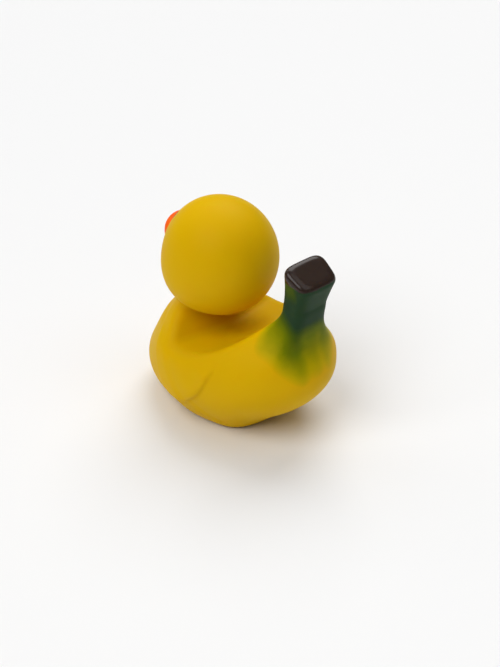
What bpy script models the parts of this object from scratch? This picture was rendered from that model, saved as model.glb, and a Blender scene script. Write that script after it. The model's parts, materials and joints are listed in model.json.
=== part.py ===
"""Rubber duck with a banana-stem tail: one hollow vinyl moulding that stands on its own flat base.

The duck faces -Y, its left side is +X, and it stands on z = 0. The outside is one smooth skin. It is
written as a function that is negative inside the vinyl, zero on the surface and positive outside. A blank is
built from primitives and Booleans, remeshed evenly, and its points are then settled onto that skin. The
inside of the moulding is made the same way, one wall thickness further in, and is open at the vent hole.
"""

import math

import bmesh
import bpy
import numpy as np
from mathutils import Matrix

MM = 0.001

# Head: a ball, slightly taller than wide, with soft cheeks low on each side.
HEAD_CENTRE = np.array([0.0, -6.0, 35.1]) * MM
HEAD_RADII = np.array([12.5, 13.2, 13.3]) * MM
CHEEK_OFFSET = np.array([5.2, -1.8, -3.0]) * MM
CHEEK_RADIUS = 5.0 * MM
CHEEK_BLEND = 6.0 * MM

# Barrel: the body below the wings, an egg whose middle moves back as it rises.
BARREL_CENTRE = np.array([0.0, 1.5, 12.4]) * MM
BARREL_HALF_WIDTH = 16.8 * MM
BARREL_TO_FRONT = 24.7 * MM
BARREL_TO_REAR = 21.8 * MM
BARREL_TO_TOP = 14.2 * MM
BARREL_TO_BOTTOM = 15.5 * MM
BARREL_LEAN = 0.60

# Breast: the front dome that carries the head, cut off behind by a sloping wall.
BREAST_CENTRE = np.array([0.0, -3.2, 16.0]) * MM
BREAST_RADII = np.array([14.5, 16.2, 11.6]) * MM
BREAST_DEPTH = 10.0 * MM
BREAST_BLEND = 4.0 * MM
WALL_FOOT_Y = -7.4 * MM
WALL_FOOT_Z = 22.5 * MM
WALL_SLOPE = 0.75
WALL_BOW = 7.5
WALL_EDGE = 2.0 * MM
WALL_CREASE = 1.0 * MM

# Dish: the hollow in the back between the two wings, which climbs into the front face of the stem.
DISH_CENTRE = np.array([0.0, -4.8, 42.2]) * MM
DISH_RADII = np.array([80.0, 22.5, 24.2]) * MM
RIM_WIDE = 2.0 * MM
RIM_NARROW = 1.2 * MM
RIM_CHANGE_Y = 4.8 * MM
RIM_CHANGE_LENGTH = 2.0 * MM

# Stem: a four-sided banana stem with a narrow waist and a slanting cut top.
WAIST_Y, WAIST_Z, WAIST_HALF = 20.1 * MM, 34.3 * MM, 3.05 * MM
CUT_Y, CUT_Z, CUT_HALF = 22.2 * MM, 42.4 * MM, 3.95 * MM
ROOT_Y, ROOT_Z, ROOT_HALF = 11.2 * MM, 18.0 * MM, 4.3 * MM
STEM_WIDTH_RATIO = 1.42
STEM_SQUARENESS = 4.2
STEM_BLEND = 7.0 * MM
BEND_POWER, FLARE_POWER, ROOT_POWER = 1.6, 1.5, 1.8
ROOT_REACH = 1.5
CUT_SLOPE = 0.57
CUT_EDGE = 1.6 * MM

# Wings: a raised lobe that hangs from each shoulder, with a round tip and a shallow hollow inside it. It fades
# into the shoulder at its top. Each edge is a line seen from the side, given by its outward direction (y, z)
# and its distance.
WING_RAISE = 1.1 * MM
WING_EDGE = 1.2 * MM
WING_CREASE = 0.9 * MM
WING_TRAILING = (0.935, -0.354, 1.3 * MM)
WING_LOWER = (0.485, -0.875, -6.3 * MM)
WING_LEADING = (-0.894, -0.447, 2.7 * MM)
WING_TIP_ROUND = 4.0 * MM
WING_FRONT_ROUND = 7.0 * MM
WING_TOP_Z, WING_TOP_FADE = 17.9 * MM, 1.5 * MM
WING_HOLLOW_Y, WING_HOLLOW_Z = 4.0 * MM, 16.0 * MM
WING_HOLLOW_REACH = 3.0 * MM
WING_HOLLOW_DEPTH = 0.5 * MM

# Bill: an upper lip turned up and a smaller lower lip, with the mouth as the wedge between them.
UPPER_LIP_CENTRE = HEAD_CENTRE + np.array([0.0, -9.9, 1.2]) * MM
UPPER_LIP_RADII = np.array([6.3, 6.2, 2.6]) * MM
UPPER_LIP_TILT = math.radians(38)
LOWER_LIP_CENTRE = HEAD_CENTRE + np.array([0.0, -9.9, -1.1]) * MM
LOWER_LIP_RADII = np.array([5.4, 5.7, 2.2]) * MM
LOWER_LIP_TILT = math.radians(2)
LIP_BLEND = 0.8 * MM
NECK_BLEND = 1.6 * MM

# Base, wall and vent hole.
BASE_EDGE = 1.5 * MM
WALL_THICKNESS = 2.0 * MM
VENT_RADIUS = 2.6 * MM
VENT_Y = -8.0 * MM

# The stem is solid: the hollow stops at a slanting edge, given as for the wings.
STEM_START = (0.94, 0.34, 21.0 * MM)
STEM_START_ROUND = 3.0 * MM

# How finely the solid is made: the blank's cells, and the share of its faces that is kept in the end.
SKIN_CELL = 0.7 * MM
SKIN_SHARE = 0.13
CAVITY_CELL = 0.9 * MM
CAVITY_SHARE = 0.08
SETTLE_ROUNDS = 20
SLIDE_ROUNDS = 15
CUTTER_SIZE = 90 * MM
PROBE = 0.01 * MM
SLIDE_STEP = 0.4
LEAST_STEEPNESS = 0.05
VINYL = (1.0, 0.62, 0.0, 1.0)
VINYL_ROUGHNESS = 0.45


# ---- the skin as a function ----


def blend_min(a, b, width):
    """The lower of two values, rounded off where they meet: a union with a fillet."""
    near = np.maximum(width - np.abs(a - b), 0) / width
    return np.minimum(a, b) - near * near * width / 4


def blend_max(a, b, width):
    """The higher of two values, rounded off where they meet: an intersection with a soft edge."""
    return -blend_min(-a, -b, width)


def ball(points, centre, radius):
    return np.linalg.norm(points - centre, axis=1) - radius


def egg(points, radii):
    """Roughly the distance to an ellipsoid about the origin. The radii may differ from point to point."""
    reach = np.linalg.norm(points / radii, axis=1)
    steepness = np.linalg.norm(points / radii**2, axis=1) + 1e-9
    return reach * (reach - 1) / steepness


def head(points):
    skull = egg(points - HEAD_CENTRE, HEAD_RADII)
    folded = points.copy()
    folded[:, 0] = np.abs(folded[:, 0])
    cheeks = ball(folded, HEAD_CENTRE + CHEEK_OFFSET, CHEEK_RADIUS)
    return blend_min(skull, cheeks, CHEEK_BLEND)


def barrel(points):
    local = points - BARREL_CENTRE
    local[:, 1] -= BARREL_LEAN * local[:, 2]
    radii = np.empty_like(local)
    radii[:, 0] = BARREL_HALF_WIDTH
    radii[:, 1] = np.where(local[:, 1] < 0, BARREL_TO_FRONT, BARREL_TO_REAR)
    radii[:, 2] = np.where(local[:, 2] > 0, BARREL_TO_TOP, BARREL_TO_BOTTOM)
    return egg(local, radii)


def breast(points):
    local = points - BREAST_CENTRE
    radii = np.tile(BREAST_RADII, (len(points), 1))
    radii[local[:, 2] < 0, 2] = BREAST_DEPTH
    return egg(local, radii)


def stem_spine(z):
    """The middle (y) and the half depth of the stem at a height."""
    above = np.clip((z - WAIST_Z) / (CUT_Z - WAIST_Z), 0, None)
    below = np.clip((WAIST_Z - z) / (WAIST_Z - ROOT_Z), 0, ROOT_REACH)
    middle = WAIST_Y + (CUT_Y - WAIST_Y) * above + (ROOT_Y - WAIST_Y) * below**BEND_POWER
    half = WAIST_HALF + (CUT_HALF - WAIST_HALF) * above**FLARE_POWER
    half += (ROOT_HALF - WAIST_HALF) * below**ROOT_POWER
    return middle, half


def stem(points):
    x, y, z = points.T
    middle, half = stem_spine(z)
    across = (np.abs(x) / STEM_WIDTH_RATIO) ** STEM_SQUARENESS
    along = np.abs(y - middle) ** STEM_SQUARENESS
    sides = (across + along) ** (1 / STEM_SQUARENESS) - half
    cut = (z - CUT_Z + CUT_SLOPE * (y - CUT_Y)) / math.hypot(1, CUT_SLOPE)
    return blend_max(sides, cut, CUT_EDGE)


def beyond(points, edge):
    """How far a point lies outside a straight edge, seen from the side."""
    along_y, along_z, distance = edge
    return along_y * points[:, 1] + along_z * points[:, 2] - distance


def wing_outline(points):
    """The lobe's outline on the flank, seen from the side: negative within it."""
    tip = blend_max(beyond(points, WING_TRAILING), beyond(points, WING_LOWER), WING_TIP_ROUND)
    return blend_max(tip, beyond(points, WING_LEADING), WING_FRONT_ROUND)


def fading(distance, length):
    """Falls smoothly from 1 to 0 as the distance passes zero."""
    return 0.5 - 0.5 * np.tanh(distance / length)


def wing_raise(points):
    y, z = points[:, 1], points[:, 2]
    away = np.hypot(y - WING_HOLLOW_Y, z - WING_HOLLOW_Z) / WING_HOLLOW_REACH
    height = WING_RAISE - WING_HOLLOW_DEPTH * np.exp(-away * away)
    return height * fading(z - WING_TOP_Z, WING_TOP_FADE)


def dish(points):
    """Positive inside the hollow of the back."""
    return -egg(points - DISH_CENTRE, DISH_RADII)


def wall(points):
    """Positive behind the sloping wall that closes the dish under the head."""
    x, y, z = points.T
    foot = WALL_FOOT_Y - WALL_SLOPE * (z - WALL_FOOT_Z) - WALL_BOW * x * x
    return (y - foot) / math.hypot(1, WALL_SLOPE)


def lip(points, centre, radii, tilt):
    """A flat egg whose front end is raised by the tilt."""
    x, y, z = (points - centre).T
    along = y * math.cos(tilt) - z * math.sin(tilt)
    across = y * math.sin(tilt) + z * math.cos(tilt)
    return egg(np.stack([x, along, across], axis=1), radii)


def bill(points):
    upper = lip(points, UPPER_LIP_CENTRE, UPPER_LIP_RADII, UPPER_LIP_TILT)
    lower = lip(points, LOWER_LIP_CENTRE, LOWER_LIP_RADII, LOWER_LIP_TILT)
    return blend_min(upper, lower, LIP_BLEND)


def skin(points):
    body = blend_min(barrel(points), stem(points), STEM_BLEND)
    body = blend_min(body, breast(points), BREAST_BLEND)
    wings = blend_max(body - wing_raise(points), wing_outline(points), WING_EDGE)
    body = blend_min(body, wings, WING_CREASE)
    change = 1 / (1 + np.exp((points[:, 1] - RIM_CHANGE_Y) / RIM_CHANGE_LENGTH))
    back = blend_max(body, dish(points), RIM_NARROW + (RIM_WIDE - RIM_NARROW) * change)
    front = blend_max(body, wall(points), WALL_EDGE)
    body = blend_min(back, front, WALL_CREASE)
    face = blend_min(head(points), bill(points), LIP_BLEND)
    return blend_max(blend_min(body, face, NECK_BLEND), -points[:, 2], BASE_EDGE)


def cavity(points):
    """The hollow: one wall thickness inside the skin, ending where the stem begins, which is solid."""
    return blend_max(skin(points) + WALL_THICKNESS, beyond(points, STEM_START), STEM_START_ROUND)


# ---- blanks, settled onto a skin ----


def primitive(name, make, collection, **settings):
    mesh = bpy.data.meshes.new(name)
    work = bmesh.new()
    make(work, **settings)
    work.to_mesh(mesh)
    work.free()
    made = bpy.data.objects.new(name, mesh)
    collection.objects.link(made)
    made.hide_render = True
    made.display_type = "WIRE"
    return made


def round_blank(name, centre, radii, collection, lean=0.0):
    """A ball stretched to three radii, with its middle moved back as it rises."""
    place = Matrix.Translation(centre)
    slant = Matrix.Identity(4)
    slant[1][2] = lean
    stretch = Matrix.Diagonal((*radii, 1))
    return primitive(
        name,
        bmesh.ops.create_uvsphere,
        collection,
        u_segments=32,
        v_segments=20,
        radius=1,
        matrix=place @ slant @ stretch,
    )


def block(name, matrix, collection):
    return primitive(name, bmesh.ops.create_cube, collection, size=1, matrix=matrix)


def boolean(target, other, operation):
    modifier = target.modifiers.new(f"{operation.lower()} {other.name}", "BOOLEAN")
    modifier.operation = operation
    modifier.solver = "EXACT"
    modifier.object = other


def neighbours_mean(points, edges):
    here = edges.ravel()
    there = edges[:, ::-1].ravel()
    count = np.bincount(here, minlength=len(points))
    total = [np.bincount(here, weights=points[there, axis], minlength=len(points)) for axis in range(3)]
    return np.stack(total, axis=1) / count[:, None]


def slope_of(surface, points):
    steps = np.eye(3) * PROBE
    rise = [surface(points + step) - surface(points - step) for step in steps]
    return np.stack(rise, axis=1) / (2 * PROBE)


def settle(mesh, surface):
    """Moves each point to where the surface function is zero, and evens out the spacing along it."""
    points = np.empty(len(mesh.vertices) * 3)
    mesh.vertices.foreach_get("co", points)
    points = points.reshape(-1, 3)
    edges = np.empty(len(mesh.edges) * 2, np.int32)
    mesh.edges.foreach_get("vertices", edges)
    edges = edges.reshape(-1, 2)
    for turn in range(SETTLE_ROUNDS):
        slope = slope_of(surface, points)
        steep = np.maximum((slope**2).sum(axis=1), LEAST_STEEPNESS)[:, None]
        if turn < SLIDE_ROUNDS:
            drift = neighbours_mean(points, edges) - points
            drift -= slope * (drift * slope).sum(axis=1)[:, None] / steep
            points = points + SLIDE_STEP * drift
        shift = surface(points)[:, None] * slope_of(surface, points) / steep
        length = np.linalg.norm(shift, axis=1)[:, None] + 1e-12
        points = points - shift * np.minimum(1, SKIN_CELL / length)
    mesh.vertices.foreach_set("co", points.ravel())
    mesh.update()


def evaluated_copy(source, name):
    graph = bpy.context.evaluated_depsgraph_get()
    mesh = bpy.data.meshes.new_from_object(source.evaluated_get(graph))
    mesh.name = name
    return mesh


def rough_blank(name, cutters, with_details, inset):
    """The union of the duck's masses less the dish, as a solid with sharp edges."""
    body = round_blank(
        f"{name}_barrel",
        BARREL_CENTRE,
        (
            BARREL_HALF_WIDTH - inset,
            (BARREL_TO_FRONT + BARREL_TO_REAR) / 2 - inset,
            (BARREL_TO_TOP + BARREL_TO_BOTTOM) / 2 - inset,
        ),
        cutters,
        lean=BARREL_LEAN,
    )
    if with_details:
        height = CUT_Z - ROOT_Z
        slant = Matrix.Identity(4)
        slant[1][2] = (CUT_Y - ROOT_Y) / height
        middle = (0, (CUT_Y + ROOT_Y) / 2, (CUT_Z + ROOT_Z) / 2)
        size = (2 * STEM_WIDTH_RATIO * WAIST_HALF, 2 * WAIST_HALF, height)
        place = Matrix.Translation(middle) @ slant @ Matrix.Diagonal((*size, 1))
        boolean(body, block(f"{name}_tail", place, cutters), "UNION")
    hollow = round_blank(f"{name}_dish", DISH_CENTRE, DISH_RADII + inset, cutters)
    boolean(body, hollow, "DIFFERENCE")
    chest = round_blank(f"{name}_breast", BREAST_CENTRE, BREAST_RADII - inset, cutters)
    behind = Matrix.Translation((0, WALL_FOOT_Y - inset, WALL_FOOT_Z)) @ Matrix.Rotation(
        math.atan(WALL_SLOPE), 4, "X"
    )
    behind = behind @ Matrix.Translation((0, CUTTER_SIZE / 2, 0)) @ Matrix.Scale(CUTTER_SIZE, 4)
    boolean(chest, block(f"{name}_wall", behind, cutters), "DIFFERENCE")
    boolean(body, chest, "UNION")
    below = Matrix.Translation((0, 0, inset - CUTTER_SIZE / 2)) @ Matrix.Scale(CUTTER_SIZE, 4)
    boolean(body, block(f"{name}_floor", below, cutters), "DIFFERENCE")
    skull = round_blank(f"{name}_head", HEAD_CENTRE, HEAD_RADII - inset, cutters)
    boolean(body, skull, "UNION")
    if with_details:
        lips = round_blank(f"{name}_lips", UPPER_LIP_CENTRE, UPPER_LIP_RADII, cutters)
        boolean(body, lips, "UNION")
    return body


def even_cells(source, name, cell):
    remesh = source.modifiers.new("even cells", "REMESH")
    remesh.mode = "VOXEL"
    remesh.voxel_size = cell
    return evaluated_copy(source, name)


def settled_solid(name, cutters, surface, cell, share, with_details, inset):
    """Settles the blank twice, in even cells each time, and then thins the mesh where it is smooth."""
    blank = rough_blank(name, cutters, with_details, inset)
    draft = bpy.data.objects.new(f"{name}_draft", even_cells(blank, f"{name}_draft", cell))
    cutters.objects.link(draft)
    settle(draft.data, surface)
    solid = bpy.data.objects.new(name, even_cells(draft, name, cell))
    settle(solid.data, surface)
    bpy.data.objects.remove(draft, do_unlink=True)
    thin = solid.modifiers.new("thin out", "DECIMATE")
    thin.ratio = share
    return solid


def vinyl_material():
    material = bpy.data.materials.new("painted vinyl")
    material.use_nodes = True
    shader = material.node_tree.nodes["Principled BSDF"]
    shader.inputs["Base Color"].default_value = VINYL
    shader.inputs["Roughness"].default_value = VINYL_ROUGHNESS
    shader.inputs["Metallic"].default_value = 0.0
    return material


def main():
    for old in list(bpy.data.objects):
        bpy.data.objects.remove(old, do_unlink=True)
    scene = bpy.context.scene
    parts = bpy.data.collections.new("rubber duck")
    cutters = bpy.data.collections.new("cutters")
    scene.collection.children.link(parts)
    scene.collection.children.link(cutters)

    shell = settled_solid("duck_shell", cutters, skin, SKIN_CELL, SKIN_SHARE, True, 0.0)
    parts.objects.link(shell)
    shell.data.materials.clear()
    shell.data.materials.append(vinyl_material())

    hollow = settled_solid("hollow", cutters, cavity, CAVITY_CELL, CAVITY_SHARE, False, WALL_THICKNESS)
    cutters.objects.link(hollow)
    hollow.hide_render = True
    hollow.display_type = "WIRE"
    boolean(shell, hollow, "DIFFERENCE")

    vent = primitive(
        "vent",
        bmesh.ops.create_cone,
        cutters,
        cap_ends=True,
        segments=32,
        radius1=VENT_RADIUS,
        radius2=VENT_RADIUS,
        depth=4 * WALL_THICKNESS,
        matrix=Matrix.Translation((0, VENT_Y, 0)),
    )
    boolean(shell, vent, "DIFFERENCE")
    shell.data.shade_smooth()


main()
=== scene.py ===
"""Looks of a rubber duck with a banana-stem tail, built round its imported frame.

The duck faces -Y, its left side is +X, and it stands on z = 0. One smooth skin, written as a function that
is negative inside the vinyl, gives the moulding its shape. The paint is laid over it by masks that are worked
out from the place on the duck: the bill, the eyes, the brown cut end of the stem, and the green that fades
from the stem into the yellow body.
"""

import json
import math

import bmesh
import bpy
import numpy as np
from mathutils import Matrix, Vector

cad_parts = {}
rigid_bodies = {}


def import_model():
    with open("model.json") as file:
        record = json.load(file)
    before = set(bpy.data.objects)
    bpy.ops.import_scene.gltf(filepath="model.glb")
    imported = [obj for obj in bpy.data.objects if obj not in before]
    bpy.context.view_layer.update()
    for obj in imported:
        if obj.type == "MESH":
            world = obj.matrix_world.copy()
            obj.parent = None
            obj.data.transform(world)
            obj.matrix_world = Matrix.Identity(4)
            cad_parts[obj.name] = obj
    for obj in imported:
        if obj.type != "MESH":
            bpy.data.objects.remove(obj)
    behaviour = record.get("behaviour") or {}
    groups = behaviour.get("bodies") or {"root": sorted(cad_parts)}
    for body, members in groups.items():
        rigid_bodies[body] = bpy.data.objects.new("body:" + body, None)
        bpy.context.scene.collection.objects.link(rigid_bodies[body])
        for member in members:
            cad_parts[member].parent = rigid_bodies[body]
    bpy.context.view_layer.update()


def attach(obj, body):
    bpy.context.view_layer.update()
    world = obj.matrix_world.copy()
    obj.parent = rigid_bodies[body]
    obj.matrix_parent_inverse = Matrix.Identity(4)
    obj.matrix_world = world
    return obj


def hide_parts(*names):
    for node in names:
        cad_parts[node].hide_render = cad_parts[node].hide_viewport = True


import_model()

MM = 0.001

# Head: a ball, slightly taller than wide, with soft cheeks low on each side.
HEAD_CENTRE = np.array([0.0, -6.0, 35.1]) * MM
HEAD_RADII = np.array([12.5, 13.2, 13.3]) * MM
CHEEK_OFFSET = np.array([5.2, -1.8, -3.0]) * MM
CHEEK_RADIUS = 5.0 * MM
CHEEK_BLEND = 6.0 * MM

# Barrel: the body below the wings, an egg whose middle moves back as it rises.
BARREL_CENTRE = np.array([0.0, 1.5, 12.4]) * MM
BARREL_HALF_WIDTH = 16.8 * MM
BARREL_TO_FRONT = 24.7 * MM
BARREL_TO_REAR = 21.8 * MM
BARREL_TO_TOP = 14.2 * MM
BARREL_TO_BOTTOM = 15.5 * MM
BARREL_LEAN = 0.60

# Breast: the front dome that carries the head, cut off behind by a sloping wall.
BREAST_CENTRE = np.array([0.0, -3.2, 16.0]) * MM
BREAST_RADII = np.array([14.5, 16.2, 11.6]) * MM
BREAST_DEPTH = 10.0 * MM
BREAST_BLEND = 4.0 * MM
WALL_FOOT_Y = -7.4 * MM
WALL_FOOT_Z = 22.5 * MM
WALL_SLOPE = 0.75
WALL_BOW = 7.5
WALL_EDGE = 2.0 * MM
WALL_CREASE = 1.0 * MM

# Dish: the hollow in the back between the two wings, which climbs into the front face of the stem.
DISH_CENTRE = np.array([0.0, -4.8, 42.2]) * MM
DISH_RADII = np.array([80.0, 22.5, 24.2]) * MM
RIM_WIDE = 2.0 * MM
RIM_NARROW = 1.2 * MM
RIM_CHANGE_Y = 4.8 * MM
RIM_CHANGE_LENGTH = 2.0 * MM

# Stem: a four-sided banana stem with a narrow waist and a slanting cut top.
WAIST_Y, WAIST_Z, WAIST_HALF = 20.1 * MM, 34.3 * MM, 3.05 * MM
CUT_Y, CUT_Z, CUT_HALF = 22.2 * MM, 42.4 * MM, 3.95 * MM
ROOT_Y, ROOT_Z, ROOT_HALF = 11.2 * MM, 18.0 * MM, 4.3 * MM
STEM_WIDTH_RATIO = 1.42
STEM_SQUARENESS = 4.2
STEM_BLEND = 7.0 * MM
BEND_POWER, FLARE_POWER, ROOT_POWER = 1.6, 1.5, 1.8
ROOT_REACH = 1.5
CUT_SLOPE = 0.57
CUT_EDGE = 1.6 * MM

# Wings: a raised lobe that hangs from each shoulder, with a round tip and a shallow hollow inside it. It
# fades into the shoulder at its top. Each edge is a line seen from the side, given by its outward direction
# (y, z) and its distance.
WING_RAISE = 1.1 * MM
WING_EDGE = 1.2 * MM
WING_CREASE = 0.4 * MM
WING_TRAILING = (0.935, -0.354, 1.3 * MM)
WING_LOWER = (0.485, -0.875, -6.3 * MM)
WING_LEADING = (-0.894, -0.447, 2.7 * MM)
WING_TIP_ROUND = 4.0 * MM
WING_FRONT_ROUND = 7.0 * MM
WING_TOP_Z, WING_TOP_FADE = 17.9 * MM, 1.5 * MM
WING_HOLLOW_Y, WING_HOLLOW_Z = 4.0 * MM, 16.0 * MM
WING_HOLLOW_REACH = 3.0 * MM
WING_HOLLOW_DEPTH = 0.5 * MM

# Bill: an upper lip turned up and a smaller lower lip, with the mouth as the wedge between them.
UPPER_LIP_CENTRE = HEAD_CENTRE + np.array([0.0, -9.9, 1.2]) * MM
UPPER_LIP_RADII = np.array([6.3, 6.2, 2.6]) * MM
UPPER_LIP_TILT = math.radians(38)
LOWER_LIP_CENTRE = HEAD_CENTRE + np.array([0.0, -9.9, -1.1]) * MM
LOWER_LIP_RADII = np.array([5.4, 5.7, 2.2]) * MM
LOWER_LIP_TILT = math.radians(2)
LIP_BLEND = 0.8 * MM
NECK_BLEND = 1.6 * MM

# Base, wall and vent hole.
BASE_EDGE = 1.5 * MM
WALL_THICKNESS = 2.0 * MM
VENT_RADIUS = 2.6 * MM
VENT_Y = -8.0 * MM

# The stem is solid: the hollow stops at a slanting edge, given as for the wings.
STEM_START = (0.94, 0.34, 21.0 * MM)
STEM_START_ROUND = 3.0 * MM

# How finely the moulding is made.
SKIN_CELL = 0.36 * MM
CAVITY_CELL = 0.8 * MM
BLANK_AROUND, BLANK_UP = 32, 20
VENT_SIDES = 64
SETTLE_ROUNDS = 18
SLIDE_ROUNDS = 12
CUTTER_SIZE = 90 * MM
PROBE = 0.01 * MM
SLIDE_STEP = 0.4
LEAST_STEEPNESS = 0.05
SHARP_ANGLE = math.radians(50)

# Eyes: two painted ovals on the front of the head, measured from its centre.
EYE_SIDE, EYE_HEIGHT = 4.7 * MM, 7.4 * MM
EYE_HALF_WIDTH, EYE_HALF_HEIGHT = 1.15 * MM, 1.6 * MM
# Each eye carries a small white glint, which is a painted highlight.
GLINT_SIDE, GLINT_RISE, GLINT_RADIUS = 0.35 * MM, 0.65 * MM, 0.38 * MM

# Edges of the paints. A pair is where a mask begins and where it is full. EDGE pairs are shares of the
# painted shape's own size, and FRONT pairs are distances in front of the head's centre.
BILL_EDGE, BILL_FRONT = (1.13, 1.09), (6 * MM, 7 * MM)
EYE_EDGE, EYE_FRONT = (1.03, 0.97), (4 * MM, 5 * MM)
GLINT_EDGE = (1.1, 0.9)

# Brown cap: it wraps over the edge of the cut by a little at the rear, and by more towards the front.
CAP_WRAP, CAP_WRAP_GROWTH, CAP_WRAP_INSET = 0.55 * MM, 0.36, 1.2 * MM
CAP_WOBBLE, CAP_SOFTNESS = 0.3 * MM, 0.15 * MM
CAP_FRONT = (8 * MM, 7 * MM)

# Sprayed green: it thickens towards the rear and upwards, and drops off faster below its low level.
GREEN_START_Y, GREEN_LENGTH = 12.9 * MM, 8.5 * MM
GREEN_LEVEL_Z, GREEN_PER_HEIGHT = 28 * MM, 0.05 / MM
GREEN_LOW_Z, GREEN_LOW_DROP = 25 * MM, 0.055 / MM
MIDDLE_ACROSS, MIDDLE_UP, MIDDLE_BACK = (4.2 * MM, 1.5 * MM), (34 * MM, 29 * MM), (18 * MM, 21 * MM)
SIDE_ACROSS, SIDE_UP, SIDE_BACK = (4.3 * MM, 4.9 * MM), (35 * MM, 38 * MM), (23 * MM, 21.5 * MM)
RUMP_BACK, RUMP_UP, RUMP_RIGHT = (14.5 * MM, 20.0 * MM), (34.0 * MM, 28.0 * MM), (0.0, -4.0 * MM)
MIDDLE_THINNING, SIDE_THINNING = 0.2, 0.22
RUMP_THINNING, RUMP_RIGHT_THINNING = 0.34, 0.12
GREEN_MOTTLING, GREEN_MOTTLING_FROM = 0.10, (0.0, 0.3)

# Sizes of the mottling, the fine grain and the broad shading, and what they do to the finish.
MOTTLE_SIZE, GRAIN_SIZE, BROAD_SIZE = 2.2 * MM, 0.30 * MM, 9 * MM
GRAIN_STRENGTH, GRAIN_DEPTH = 0.25, 0.04 * MM
DEEPENING, DEEPENING_EDGE = 0.10, (0.0, 0.1)
BILL_GLOSS, EYE_GLOSS, COAT = 0.4, 0.2, 0.45
ROUGHNESS, ROUGHNESS_MOTTLING = 0.50, 0.08
GREEN_SMOOTHER, GLOSS_SMOOTHER = 0.06, 0.18

# Colours of the vinyl and the paints.
YELLOW = (0.73, 0.437, 0.0, 1.0)
DEEP_YELLOW = (0.62, 0.34, 0.0, 1.0)
ORANGE = (0.92, 0.12, 0.001, 1.0)
BROWN = (0.030, 0.017, 0.012, 1.0)
BLACK = (0.006, 0.006, 0.006, 1.0)
# The white of the eyes' glints is a painted highlight.
GLINT_WHITE = (0.85, 0.85, 0.83, 1.0)
PALE = (0.88, 0.88, 0.88, 1.0)
GREEN_FADE = (
    (0.00, YELLOW),
    (0.15, (0.52, 0.385, 0.0, 1.0)),
    (0.32, (0.30, 0.28, 0.0, 1.0)),
    (0.50, (0.15, 0.18, 0.0, 1.0)),
    (0.68, (0.074, 0.110, 0.002, 1.0)),
    (0.84, (0.036, 0.070, 0.009, 1.0)),
    (1.00, (0.019, 0.049, 0.020, 1.0)),
)

# The stage: camera direction and distance, and the light around the duck.
VIEW_AZIMUTH = math.radians(138.0)
VIEW_ELEVATION = math.radians(32.0)
VIEW_DISTANCE = 0.300
VIEW_LENS = 72.9
VIEW_CENTRE = np.array([0.0, -1.2, 20.0]) * MM
AIM = np.array([-1.4, 1.9, 17.8]) * MM
WORLD_FILL, WORLD_SEEN = 0.10, 0.88
# A wide, distant light has soft shadows and keeps the floor even. Each has a name, its azimuth and elevation
# in degrees, and its strength in watts per square metre.
LIGHT_SPREAD = math.radians(42)
LIGHT_DISTANCE = 1.0
SOFT_LIGHTS = (
    ("left", 93, 52, 1.60),
    ("far right", 304, 55, 1.50),
    ("right", 205, 60, 0.40),
    ("front", 3, 50, 0.35),
)
FLOOR_RADIUS, FLOOR_SIDES = 3.0, 96


# ---- the skin as a function ----


def blend_min(a, b, width):
    """The lower of two values, rounded off where they meet: a union with a fillet."""
    near = np.maximum(width - np.abs(a - b), 0) / width
    return np.minimum(a, b) - near * near * width / 4


def blend_max(a, b, width):
    """The higher of two values, rounded off where they meet: an intersection with a soft edge."""
    return -blend_min(-a, -b, width)


def ball(points, centre, radius):
    return np.linalg.norm(points - centre, axis=1) - radius


def egg(points, radii):
    """Roughly the distance to an ellipsoid about the origin. The radii may differ from point to point."""
    reach = np.linalg.norm(points / radii, axis=1)
    steepness = np.linalg.norm(points / radii**2, axis=1) + 1e-9
    return reach * (reach - 1) / steepness


def head(points):
    skull = egg(points - HEAD_CENTRE, HEAD_RADII)
    folded = points.copy()
    folded[:, 0] = np.abs(folded[:, 0])
    cheeks = ball(folded, HEAD_CENTRE + CHEEK_OFFSET, CHEEK_RADIUS)
    return blend_min(skull, cheeks, CHEEK_BLEND)


def barrel(points):
    local = points - BARREL_CENTRE
    local[:, 1] -= BARREL_LEAN * local[:, 2]
    radii = np.empty_like(local)
    radii[:, 0] = BARREL_HALF_WIDTH
    radii[:, 1] = np.where(local[:, 1] < 0, BARREL_TO_FRONT, BARREL_TO_REAR)
    radii[:, 2] = np.where(local[:, 2] > 0, BARREL_TO_TOP, BARREL_TO_BOTTOM)
    return egg(local, radii)


def breast(points):
    local = points - BREAST_CENTRE
    radii = np.tile(BREAST_RADII, (len(points), 1))
    radii[local[:, 2] < 0, 2] = BREAST_DEPTH
    return egg(local, radii)


def stem_spine(z):
    """The middle (y) and the half depth of the stem at a height."""
    above = np.clip((z - WAIST_Z) / (CUT_Z - WAIST_Z), 0, None)
    below = np.clip((WAIST_Z - z) / (WAIST_Z - ROOT_Z), 0, ROOT_REACH)
    middle = WAIST_Y + (CUT_Y - WAIST_Y) * above + (ROOT_Y - WAIST_Y) * below**BEND_POWER
    half = WAIST_HALF + (CUT_HALF - WAIST_HALF) * above**FLARE_POWER
    half += (ROOT_HALF - WAIST_HALF) * below**ROOT_POWER
    return middle, half


def stem(points):
    x, y, z = points.T
    middle, half = stem_spine(z)
    across = (np.abs(x) / STEM_WIDTH_RATIO) ** STEM_SQUARENESS
    along = np.abs(y - middle) ** STEM_SQUARENESS
    sides = (across + along) ** (1 / STEM_SQUARENESS) - half
    cut = (z - CUT_Z + CUT_SLOPE * (y - CUT_Y)) / math.hypot(1, CUT_SLOPE)
    return blend_max(sides, cut, CUT_EDGE)


def beyond(points, edge):
    """How far a point lies outside a straight edge, seen from the side."""
    along_y, along_z, distance = edge
    return along_y * points[:, 1] + along_z * points[:, 2] - distance


def wing_outline(points):
    """The lobe's outline on the flank, seen from the side: negative within it."""
    tip = blend_max(beyond(points, WING_TRAILING), beyond(points, WING_LOWER), WING_TIP_ROUND)
    return blend_max(tip, beyond(points, WING_LEADING), WING_FRONT_ROUND)


def fading(distance, length):
    """Falls smoothly from 1 to 0 as the distance passes zero."""
    return 0.5 - 0.5 * np.tanh(distance / length)


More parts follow.
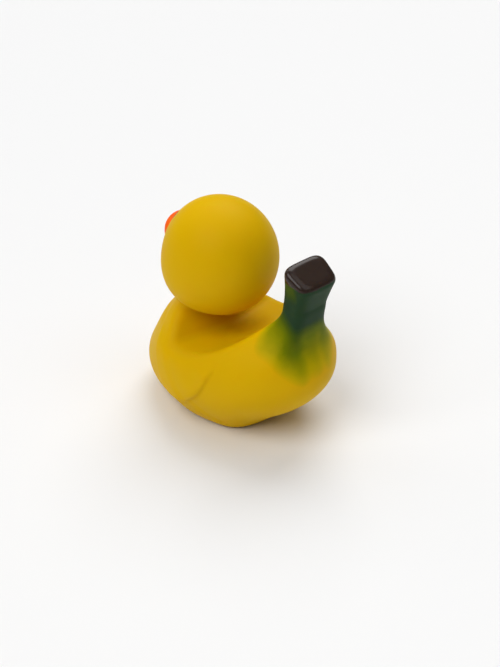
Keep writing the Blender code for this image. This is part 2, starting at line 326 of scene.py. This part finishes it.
def wing_raise(points):
    y, z = points[:, 1], points[:, 2]
    away = np.hypot(y - WING_HOLLOW_Y, z - WING_HOLLOW_Z) / WING_HOLLOW_REACH
    height = WING_RAISE - WING_HOLLOW_DEPTH * np.exp(-away * away)
    return height * fading(z - WING_TOP_Z, WING_TOP_FADE)


def dish(points):
    """Positive inside the hollow of the back."""
    return -egg(points - DISH_CENTRE, DISH_RADII)


def wall(points):
    """Positive behind the sloping wall that closes the dish under the head."""
    x, y, z = points.T
    foot = WALL_FOOT_Y - WALL_SLOPE * (z - WALL_FOOT_Z) - WALL_BOW * x * x
    return (y - foot) / math.hypot(1, WALL_SLOPE)


def lip(points, centre, radii, tilt):
    """A flat egg whose front end is raised by the tilt."""
    x, y, z = (points - centre).T
    along = y * math.cos(tilt) - z * math.sin(tilt)
    across = y * math.sin(tilt) + z * math.cos(tilt)
    return egg(np.stack([x, along, across], axis=1), radii)


def bill(points):
    upper = lip(points, UPPER_LIP_CENTRE, UPPER_LIP_RADII, UPPER_LIP_TILT)
    lower = lip(points, LOWER_LIP_CENTRE, LOWER_LIP_RADII, LOWER_LIP_TILT)
    return blend_min(upper, lower, LIP_BLEND)


def skin(points):
    body = blend_min(barrel(points), stem(points), STEM_BLEND)
    body = blend_min(body, breast(points), BREAST_BLEND)
    wings = blend_max(body - wing_raise(points), wing_outline(points), WING_EDGE)
    body = blend_min(body, wings, WING_CREASE)
    change = 1 / (1 + np.exp((points[:, 1] - RIM_CHANGE_Y) / RIM_CHANGE_LENGTH))
    back = blend_max(body, dish(points), RIM_NARROW + (RIM_WIDE - RIM_NARROW) * change)
    front = blend_max(body, wall(points), WALL_EDGE)
    body = blend_min(back, front, WALL_CREASE)
    face = blend_min(head(points), bill(points), LIP_BLEND)
    return blend_max(blend_min(body, face, NECK_BLEND), -points[:, 2], BASE_EDGE)


def cavity(points):
    """The hollow: one wall thickness inside the skin, ending where the stem begins, which is solid."""
    return blend_max(skin(points) + WALL_THICKNESS, beyond(points, STEM_START), STEM_START_ROUND)


# ---- blanks, settled onto a skin ----


def primitive(name, make, collection, **settings):
    mesh = bpy.data.meshes.new(name)
    work = bmesh.new()
    make(work, **settings)
    work.to_mesh(mesh)
    work.free()
    made = bpy.data.objects.new(name, mesh)
    collection.objects.link(made)
    made.hide_render = True
    made.display_type = "WIRE"
    return made


def round_blank(name, centre, radii, collection, lean=0.0):
    """A ball stretched to three radii, with its middle moved back as it rises."""
    place = Matrix.Translation(centre)
    slant = Matrix.Identity(4)
    slant[1][2] = lean
    stretch = Matrix.Diagonal((*radii, 1))
    return primitive(
        name,
        bmesh.ops.create_uvsphere,
        collection,
        u_segments=BLANK_AROUND,
        v_segments=BLANK_UP,
        radius=1,
        matrix=place @ slant @ stretch,
    )


def block(name, matrix, collection):
    return primitive(name, bmesh.ops.create_cube, collection, size=1, matrix=matrix)


def boolean(target, other, operation):
    modifier = target.modifiers.new(f"{operation.lower()} {other.name}", "BOOLEAN")
    modifier.operation = operation
    modifier.solver = "EXACT"
    modifier.object = other


def neighbours_mean(points, edges):
    here = edges.ravel()
    there = edges[:, ::-1].ravel()
    count = np.bincount(here, minlength=len(points))
    total = [np.bincount(here, weights=points[there, axis], minlength=len(points)) for axis in range(3)]
    return np.stack(total, axis=1) / count[:, None]


def slope_of(surface, points):
    steps = np.eye(3) * PROBE
    rise = [surface(points + step) - surface(points - step) for step in steps]
    return np.stack(rise, axis=1) / (2 * PROBE)


def settle(mesh, surface):
    """Moves each point to where the surface function is zero, and evens out the spacing along it."""
    points = np.empty(len(mesh.vertices) * 3)
    mesh.vertices.foreach_get("co", points)
    points = points.reshape(-1, 3)
    edges = np.empty(len(mesh.edges) * 2, np.int32)
    mesh.edges.foreach_get("vertices", edges)
    edges = edges.reshape(-1, 2)
    for turn in range(SETTLE_ROUNDS):
        slope = slope_of(surface, points)
        steep = np.maximum((slope**2).sum(axis=1), LEAST_STEEPNESS)[:, None]
        if turn < SLIDE_ROUNDS:
            drift = neighbours_mean(points, edges) - points
            drift -= slope * (drift * slope).sum(axis=1)[:, None] / steep
            points = points + SLIDE_STEP * drift
        shift = surface(points)[:, None] * slope_of(surface, points) / steep
        length = np.linalg.norm(shift, axis=1)[:, None] + 1e-12
        points = points - shift * np.minimum(1, SKIN_CELL / length)
    mesh.vertices.foreach_set("co", points.ravel())
    mesh.update()


def evaluated_copy(source, name):
    graph = bpy.context.evaluated_depsgraph_get()
    mesh = bpy.data.meshes.new_from_object(source.evaluated_get(graph))
    mesh.name = name
    return mesh


def rough_blank(name, cutters, with_details, inset):
    """The union of the duck's masses less the dish, as a solid with sharp edges."""
    body = round_blank(
        f"{name}_barrel",
        BARREL_CENTRE,
        (
            BARREL_HALF_WIDTH - inset,
            (BARREL_TO_FRONT + BARREL_TO_REAR) / 2 - inset,
            (BARREL_TO_TOP + BARREL_TO_BOTTOM) / 2 - inset,
        ),
        cutters,
        lean=BARREL_LEAN,
    )
    if with_details:
        height = CUT_Z - ROOT_Z
        slant = Matrix.Identity(4)
        slant[1][2] = (CUT_Y - ROOT_Y) / height
        middle = (0, (CUT_Y + ROOT_Y) / 2, (CUT_Z + ROOT_Z) / 2)
        size = (2 * STEM_WIDTH_RATIO * WAIST_HALF, 2 * WAIST_HALF, height)
        place = Matrix.Translation(middle) @ slant @ Matrix.Diagonal((*size, 1))
        boolean(body, block(f"{name}_tail", place, cutters), "UNION")
    hollow = round_blank(f"{name}_dish", DISH_CENTRE, DISH_RADII + inset, cutters)
    boolean(body, hollow, "DIFFERENCE")
    chest = round_blank(f"{name}_breast", BREAST_CENTRE, BREAST_RADII - inset, cutters)
    behind = Matrix.Translation((0, WALL_FOOT_Y - inset, WALL_FOOT_Z)) @ Matrix.Rotation(
        math.atan(WALL_SLOPE), 4, "X"
    )
    behind = behind @ Matrix.Translation((0, CUTTER_SIZE / 2, 0)) @ Matrix.Scale(CUTTER_SIZE, 4)
    boolean(chest, block(f"{name}_wall", behind, cutters), "DIFFERENCE")
    boolean(body, chest, "UNION")
    below = Matrix.Translation((0, 0, inset - CUTTER_SIZE / 2)) @ Matrix.Scale(CUTTER_SIZE, 4)
    boolean(body, block(f"{name}_floor", below, cutters), "DIFFERENCE")
    skull = round_blank(f"{name}_head", HEAD_CENTRE, HEAD_RADII - inset, cutters)
    boolean(body, skull, "UNION")
    if with_details:
        lips = round_blank(f"{name}_lips", UPPER_LIP_CENTRE, UPPER_LIP_RADII, cutters)
        boolean(body, lips, "UNION")
    return body


def even_cells(source, name, cell):
    remesh = source.modifiers.new("even cells", "REMESH")
    remesh.mode = "VOXEL"
    remesh.voxel_size = cell
    return evaluated_copy(source, name)


def settled_solid(name, cutters, surface, cell, with_details, inset):
    """Settles the blank twice, in even cells each time."""
    blank = rough_blank(name, cutters, with_details, inset)
    draft = bpy.data.objects.new(f"{name}_draft", even_cells(blank, f"{name}_draft", cell))
    cutters.objects.link(draft)
    settle(draft.data, surface)
    solid = bpy.data.objects.new(name, even_cells(draft, name, cell))
    settle(solid.data, surface)
    bpy.data.objects.remove(draft, do_unlink=True)
    return solid


# ---- paint, as maths on the place on the duck ----


class Signal:
    """A number that varies over a surface. Python's operators on it add Math nodes."""

    def __init__(self, finish, socket):
        self.finish = finish
        self.socket = socket

    def math(self, operation, *others):
        return self.finish.node("ShaderNodeMath", {"operation": operation}, (self, *others))

    def __add__(self, other):
        return self.math("ADD", other)

    def __sub__(self, other):
        return self.math("SUBTRACT", other)

    def __mul__(self, other):
        return self.math("MULTIPLY", other)

    def __truediv__(self, other):
        return self.math("DIVIDE", other)

    def __pow__(self, other):
        return self.math("POWER", other)

    def __rsub__(self, other):
        return self.finish.node("ShaderNodeMath", {"operation": "SUBTRACT"}, (other, self))

    __radd__ = __add__
    __rmul__ = __mul__

    def __abs__(self):
        return self.math("ABSOLUTE")

    def least(self, other):
        return self.math("MINIMUM", other)

    def most(self, other):
        return self.math("MAXIMUM", other)

    def rising(self, low, high):
        """0 below low and 1 above high, with a smooth rise between them. Low above high makes it fall."""
        settings = {"interpolation_type": "SMOOTHSTEP"}
        return self.finish.node("ShaderNodeMapRange", settings, (self, low, high, 0.0, 1.0))

    def ramp(self, low, high):
        """The straight-line form of rising."""
        return self.finish.node("ShaderNodeMapRange", {"clamp": True}, (self, low, high, 0.0, 1.0))


def length_of(*sides):
    """The length of a vector whose parts are signals."""
    total = sides[0] * sides[0]
    for side in sides[1:]:
        total = total + side * side
    return total ** 0.5


class Finish:
    """A material with a Principled shader, and the one method that adds any other node to it."""

    def __init__(self, name):
        self.material = bpy.data.materials.new(name)
        self.material.use_nodes = True
        self.tree = self.material.node_tree
        self.shader = self.tree.nodes["Principled BSDF"]

    def node(self, kind, settings=None, inputs=(), output=0):
        """Adds a node, makes its settings, and fills its sockets: by order, or by name from a dictionary."""
        made = self.tree.nodes.new(kind)
        for name, value in (settings or {}).items():
            if name == "stops":
                self.set_stops(made.color_ramp, value)
            else:
                setattr(made, name, value)
        pairs = inputs.items() if isinstance(inputs, dict) else enumerate(inputs)
        for key, value in pairs:
            self.feed(made.inputs[key], value)
        return Signal(self, made.outputs[output])

    def set_stops(self, ramp, stops):
        while len(ramp.elements) < len(stops):
            ramp.elements.new(1.0)
        for element, (place, colour) in zip(ramp.elements, stops):
            element.position = place
            element.color = colour

    def feed(self, socket, value):
        if isinstance(value, Signal):
            self.tree.links.new(value.socket, socket)
        else:
            socket.default_value = value

    def mix(self, mask, below, above):
        """One colour laid over another through a mask."""
        settings = {"data_type": "RGBA"}
        return self.node("ShaderNodeMix", settings, {0: mask, 6: below, 7: above}, output=2)

    def noise(self, place, size, detail=2.0):
        """Soft mottling from 0 to 1, with features of about the given size."""
        inputs = {"Vector": place, "Scale": 1 / size, "Detail": detail, "Roughness": 0.5}
        return self.node("ShaderNodeTexNoise", {"noise_dimensions": "3D"}, inputs)

    def surface(self, **values):
        """Sets the shader's own sockets. An underscore in a name stands for a space."""
        for name, value in values.items():
            self.feed(self.shader.inputs[name.replace("_", " ")], value)


def place_parts(finish):
    """The place on the duck as one vector and as its x, y and z."""
    place = finish.node("ShaderNodeTexCoord", output="Object")
    axes = [finish.node("ShaderNodeSeparateXYZ", inputs=(place,), output=axis) for axis in range(3)]
    return place, axes


def lip_reach(x, y, z, centre, radii, tilt):
    """1 on the surface of a lip, less inside it and more outside."""
    y = y - float(centre[1])
    z = z - float(centre[2])
    along = y * math.cos(tilt) - z * math.sin(tilt)
    across = y * math.sin(tilt) + z * math.cos(tilt)
    return length_of(x / float(radii[0]), along / float(radii[1]), across / float(radii[2]))


def before_head(y, band):
    """Keeps a paint to the face: full from the further of two distances in front of the head's centre."""
    nearer, further = band
    return y.rising(float(HEAD_CENTRE[1]) - nearer, float(HEAD_CENTRE[1]) - further)


def bill_mask(x, y, z):
    upper = lip_reach(x, y, z, UPPER_LIP_CENTRE, UPPER_LIP_RADII, UPPER_LIP_TILT)
    lower = lip_reach(x, y, z, LOWER_LIP_CENTRE, LOWER_LIP_RADII, LOWER_LIP_TILT)
    return upper.least(lower).rising(*BILL_EDGE) * before_head(y, BILL_FRONT)


def eye_masks(x, y, z):
    """The black ovals, and the small white glint on each, which is a painted highlight."""
    front = before_head(y, EYE_FRONT)
    side = abs(x) - EYE_SIDE
    up = z - (float(HEAD_CENTRE[2]) + EYE_HEIGHT)
    oval = length_of(side / EYE_HALF_WIDTH, up / EYE_HALF_HEIGHT).rising(*EYE_EDGE)
    outer, inner = [GLINT_RADIUS * share for share in GLINT_EDGE]
    glint = length_of(side + GLINT_SIDE, up - GLINT_RISE).rising(outer, inner)
    return oval * front, glint * front


def cap_mask(y, z, wobble):
    """The brown end of the stem. It wraps over the edge, further down at the front than at the rear."""
    below_cut = (CUT_Z - CUT_SLOPE * (y - CUT_Y) - z) / math.hypot(1, CUT_SLOPE)
    reach = CAP_WRAP + CAP_WRAP_GROWTH * (CUT_Y + CUT_HALF - CAP_WRAP_INSET - y).most(0.0)
    behind_head = y.rising(CUT_Y - CAP_FRONT[0], CUT_Y - CAP_FRONT[1])
    painted = (below_cut - reach + wobble * CAP_WOBBLE).rising(CAP_SOFTNESS, -CAP_SOFTNESS)
    return painted * behind_head


def green_density(x, y, z, mottle):
    """How thick the sprayed green is: full on the stem, fading down the rump and forward along the rim."""
    towards_rear = (y - GREEN_START_Y) / GREEN_LENGTH
    above = (z - GREEN_LEVEL_Z).most(0.0) * GREEN_PER_HEIGHT
    below = (GREEN_LEVEL_Z - z).most(0.0) * GREEN_PER_HEIGHT + (GREEN_LOW_Z - z).most(0.0) * GREEN_LOW_DROP
    # The spray is thinner across the middle of the rear face, which leaves a tongue down each rear corner.
    middle = abs(x).rising(*MIDDLE_ACROSS) * z.rising(*MIDDLE_UP) * y.rising(*MIDDLE_BACK)
    # The side faces near the cap are thin too, so the yellow shows through as olive.
    side = abs(x).rising(*SIDE_ACROSS) * z.rising(*SIDE_UP) * y.rising(*SIDE_BACK)
    # It ends higher up on the rump than along the rim, and highest on the right.
    rump = y.rising(*RUMP_BACK) * z.rising(*RUMP_UP)
    rump_thinning = RUMP_THINNING + RUMP_RIGHT_THINNING * x.rising(*RUMP_RIGHT)
    density = towards_rear + above - below - MIDDLE_THINNING * middle - rump_thinning * rump
    full = density.ramp(0.0, 1.0)
    speckle = (mottle - 0.5) * GREEN_MOTTLING * full.rising(*GREEN_MOTTLING_FROM)
    return (full - SIDE_THINNING * side + speckle).ramp(0.0, 1.0)


def painted_vinyl():
    """Satin yellow vinyl with sprayed green, and glossier brown, orange and black paint."""
    finish = Finish("painted vinyl")
    place, (x, y, z) = place_parts(finish)
    mottle = finish.noise(place, MOTTLE_SIZE)
    grain = finish.noise(place, GRAIN_SIZE)
    broad = finish.noise(place, BROAD_SIZE)

    bill_paint = bill_mask(x, y, z)
    eye_paint, glint_paint = eye_masks(x, y, z)
    cap_paint = cap_mask(y, z, mottle - 0.5)
    density = green_density(x, y, z, mottle)

    sprayed = finish.node("ShaderNodeValToRGB", {"stops": GREEN_FADE}, (density,))
    deeper = finish.mix(DEEPENING * broad, sprayed, DEEP_YELLOW)
    colour = finish.mix(density.rising(*DEEPENING_EDGE), deeper, sprayed)
    colour = finish.mix(cap_paint, colour, BROWN)
    colour = finish.mix(bill_paint, colour, ORANGE)
    colour = finish.mix(eye_paint, colour, BLACK)
    # Painted highlight: a small white glint laid on each eye.
    colour = finish.mix(glint_paint, colour, GLINT_WHITE)

    glossy = cap_paint.most(BILL_GLOSS * bill_paint).most(EYE_GLOSS * eye_paint)
    roughness = ROUGHNESS + ROUGHNESS_MOTTLING * (mottle - 0.5)
    roughness = roughness - GREEN_SMOOTHER * density - GLOSS_SMOOTHER * glossy
    bump = {"Strength": GRAIN_STRENGTH, "Distance": GRAIN_DEPTH, "Height": grain}
    finish.surface(
        Base_Color=colour,
        Roughness=roughness,
        Coat_Weight=COAT * glossy,
        Coat_Roughness=0.16,
        Specular_IOR_Level=0.05,
        Subsurface_Weight=0.30,
        Subsurface_Radius=(1.0, 0.45, 0.10),
        Subsurface_Scale=3.0 * MM,
        Normal=finish.node("ShaderNodeBump", inputs=bump),
    )
    return finish.material


def pale_floor():
    finish = Finish("pale floor")
    finish.surface(Base_Color=PALE, Roughness=0.7)
    return finish.material


# ---- the moulding ----


def moulding():
    """The hollow duck with its vent hole, as one fine mesh."""
    shapes = bpy.data.collections.new("duck")
    cutters = bpy.data.collections.new("cutters")
    bpy.context.scene.collection.children.link(shapes)
    bpy.context.scene.collection.children.link(cutters)

    skin_solid = settled_solid("skin", cutters, skin, SKIN_CELL, True, 0.0)
    cutters.objects.link(skin_solid)
    hollow = settled_solid("hollow", cutters, cavity, CAVITY_CELL, False, WALL_THICKNESS)
    cutters.objects.link(hollow)
    vent = primitive(
        "vent",
        bmesh.ops.create_cone,
        cutters,
        cap_ends=True,
        segments=VENT_SIDES,
        radius1=VENT_RADIUS,
        radius2=VENT_RADIUS,
        depth=4 * WALL_THICKNESS,
        matrix=Matrix.Translation((0, VENT_Y, 0)),
    )
    boolean(skin_solid, hollow, "DIFFERENCE")
    boolean(skin_solid, vent, "DIFFERENCE")
    duck = bpy.data.objects.new("duck", evaluated_copy(skin_solid, "duck"))
    shapes.objects.link(duck)
    for helper in list(cutters.objects):
        bpy.data.objects.remove(helper, do_unlink=True)
    bpy.data.collections.remove(cutters)
    duck.data.shade_smooth()
    duck.data.set_sharp_from_angle(angle=SHARP_ANGLE)
    return duck


# ---- the stage ----


def floor():
    mesh = bpy.data.meshes.new("floor")
    work = bmesh.new()
    bmesh.ops.create_circle(work, cap_ends=True, segments=FLOOR_SIDES, radius=FLOOR_RADIUS)
    work.to_mesh(mesh)
    work.free()
    made = bpy.data.objects.new("floor", mesh)
    bpy.context.scene.collection.objects.link(made)
    made.data.materials.append(pale_floor())
    return made


def towards(target, origin):
    """The rotation that turns a camera's or a light's -Z from its place to a target."""
    return (Vector(target) - Vector(origin)).to_track_quat("-Z", "Y").to_euler()


def direction(azimuth, elevation):
    """The unit vector from the duck towards a camera or a light. Azimuth 0 is in front of the duck."""
    level = math.cos(elevation)
    return np.array([math.sin(azimuth) * level, -math.cos(azimuth) * level, math.sin(elevation)])


def soft_light(name, azimuth, elevation, strength):
    lamp = bpy.data.lights.new(name, "SUN")
    lamp.angle = LIGHT_SPREAD
    lamp.energy = strength
    holder = bpy.data.objects.new(name, lamp)
    holder.location = direction(azimuth, elevation) * LIGHT_DISTANCE
    holder.rotation_euler = towards(VIEW_CENTRE, holder.location)
    bpy.context.scene.collection.objects.link(holder)


def studio():
    world = bpy.data.worlds.new("studio")
    world.use_nodes = True
    background = world.node_tree.nodes["Background"]
    background.inputs["Color"].default_value = (1.0, 1.0, 1.0, 1.0)
    seen = world.node_tree.nodes.new("ShaderNodeLightPath").outputs["Is Camera Ray"]
    strength = world.node_tree.nodes.new("ShaderNodeMapRange")
    strength.inputs["To Min"].default_value = WORLD_FILL
    strength.inputs["To Max"].default_value = WORLD_SEEN
    world.node_tree.links.new(seen, strength.inputs["Value"])
    world.node_tree.links.new(strength.outputs["Result"], background.inputs["Strength"])
    bpy.context.scene.world = world
    for name, azimuth, elevation, strength in SOFT_LIGHTS:
        soft_light(name, math.radians(azimuth), math.radians(elevation), strength)
    bpy.context.scene.view_settings.view_transform = "Standard"


def viewpoint():
    lens = bpy.data.cameras.new("camera")
    lens.lens = VIEW_LENS
    lens.clip_start = 0.01
    holder = bpy.data.objects.new("camera", lens)
    holder.location = VIEW_CENTRE + direction(VIEW_AZIMUTH, VIEW_ELEVATION) * VIEW_DISTANCE
    holder.rotation_euler = towards(AIM, holder.location)
    bpy.context.scene.collection.objects.link(holder)
    bpy.context.scene.camera = holder


# ---- everything together ----

duck = moulding()
duck.data.materials.clear()
duck.data.materials.append(painted_vinyl())
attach(duck, "root")
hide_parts("duck_shell")

floor()
studio()
viewpoint()
